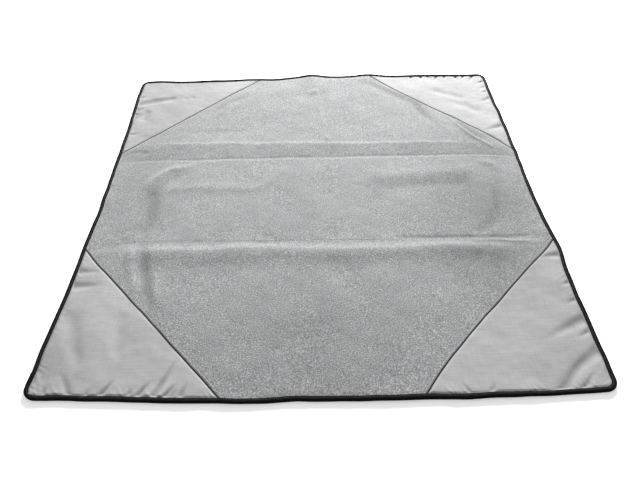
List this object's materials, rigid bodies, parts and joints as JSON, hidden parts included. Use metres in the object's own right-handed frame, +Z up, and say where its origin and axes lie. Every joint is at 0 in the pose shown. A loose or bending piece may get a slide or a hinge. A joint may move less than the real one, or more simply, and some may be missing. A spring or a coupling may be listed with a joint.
{
  "type": "folding foam sleeping mat",
  "caption": "Square padded ground mat with a fleece top, satin corners, black bound edge and foam inserts in panels joined by sewn folds.",
  "frame": {"origin": "centre of the mat's underside, on the ground", "axes": "+Z up out of the fleece side, +X to the right, +Y from the near panel to the far panel, square to the sewn folds"},
  "size_m": [1.2, 1.22, 0.0104],
  "materials": {
    "fleece": "matte",
    "satin": "satin",
    "binding": "satin",
    "welt": "matte",
    "thread": "satin",
    "black_thread": "satin",
    "backing": "satin",
    "foam": "matte"
  },
  "bodies": {
    "middle": {"top_fleece_middle": "fleece", "backing_middle": "backing", "foam_insert_middle": "foam", "edge_binding_middle_left": "binding", "edge_binding_middle_right": "binding", "edge_stitch_middle_left": "black_thread", "edge_stitch_middle_right": "black_thread", "fold_stitch_near": "thread", "fold_stitch_far": "thread"},
    "near": {"top_fleece_near": "fleece", "backing_near": "backing", "foam_insert_near": "foam", "edge_binding_near": "binding", "edge_stitch_near": "black_thread", "corner_patch_near_left": "satin", "corner_welt_near_left": "welt", "corner_topstitch_near_left": "thread", "corner_patch_near_right": "satin", "corner_welt_near_right": "welt", "corner_topstitch_near_right": "thread", "binding_end_lap": "binding"},
    "far": {"top_fleece_far": "fleece", "backing_far": "backing", "foam_insert_far": "foam", "edge_binding_far": "binding", "edge_stitch_far": "black_thread", "corner_patch_far_left": "satin", "corner_welt_far_left": "welt", "corner_topstitch_far_left": "thread", "corner_patch_far_right": "satin", "corner_welt_far_right": "welt", "corner_topstitch_far_right": "thread"}
  },
  "joints": [
    {"name": "near_fold", "type": "hinge", "parent": "middle", "child": "near", "pos_m": [0, -0.182, 0.011], "axis": [-1, 0, 0], "range_deg": [0, 179.8]},
    {"name": "far_fold", "type": "hinge", "parent": "middle", "child": "far", "pos_m": [0, 0.156, -0.0006], "axis": [-1, 0, 0], "range_deg": [0, 179.8]}
  ]
}
